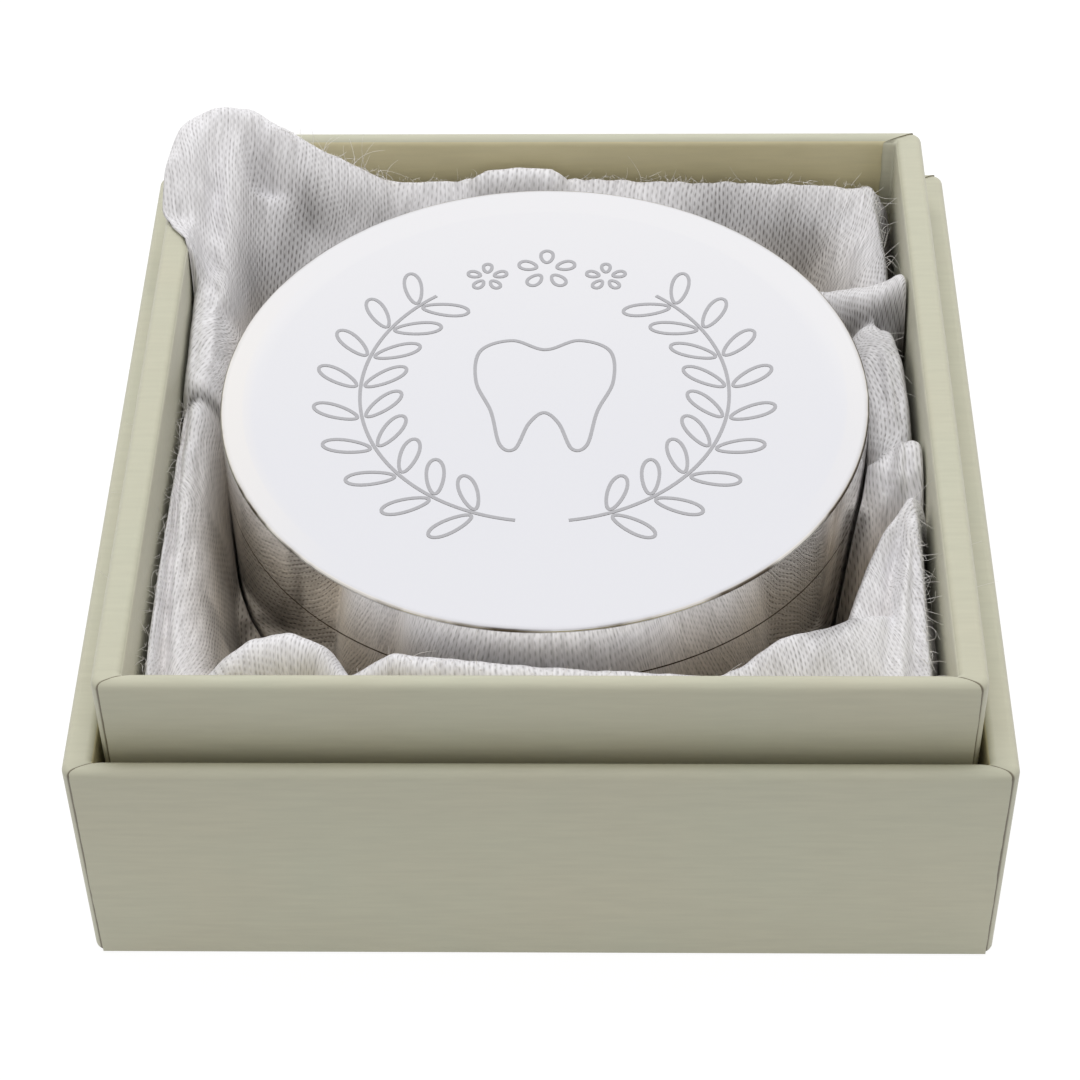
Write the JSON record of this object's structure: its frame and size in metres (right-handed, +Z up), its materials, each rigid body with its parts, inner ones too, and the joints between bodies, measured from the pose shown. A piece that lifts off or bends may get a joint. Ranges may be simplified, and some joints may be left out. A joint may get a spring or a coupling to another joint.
{
  "type": "tooth keepsake box",
  "caption": "Round plated keepsake box for a baby tooth, with a flat lift-off lid, bedded in folded satin in a square paper-covered card case.",
  "frame": {"origin": "middle of the underside of the card case", "axes": "+Z up out of the case along the round box's axis, -Y to the front wall that faces the viewer, +X to the viewer's right"},
  "size_m": [0.088, 0.088, 0.0428],
  "materials": {
    "greyboard": "matt",
    "stay_tape": "matt",
    "cover_paper": "eggshell",
    "liner_paper": "matt",
    "lining_card": "matt",
    "wadding": "fibrous",
    "satin": "satin sheen",
    "silver_plate": "mirror polish",
    "velvet": "short pile"
  },
  "bodies": {
    "case": {"case_board": "greyboard", "case_corner_stays": "stay_tape", "case_wrap": "cover_paper", "case_liner": "liner_paper"},
    "tray": {"tray_board": "greyboard", "tray_corner_stays": "stay_tape", "tray_wrap": "cover_paper", "lining_card": "lining_card", "wadding_pad": "wadding", "satin_lining": "satin"},
    "round_box": {"base_cup": "silver_plate", "base_collar": "silver_plate", "base_velvet_pad": "velvet", "base_velvet_band": "velvet"},
    "lid": {"lid_shell": "silver_plate", "lid_velvet": "velvet"}
  },
  "joints": [
    {"name": "tray_lift", "type": "slide", "parent": "case", "child": "tray", "axis": [0, 0, 1], "range_m": [0, 0.035]},
    {"name": "box_lift", "type": "slide", "parent": "tray", "child": "round_box", "axis": [0, 0, 1], "range_m": [0, 0.045]},
    {"name": "lid_lift", "type": "slide", "parent": "round_box", "child": "lid", "axis": [0, 0, 1], "range_m": [0, 0.035]}
  ]
}
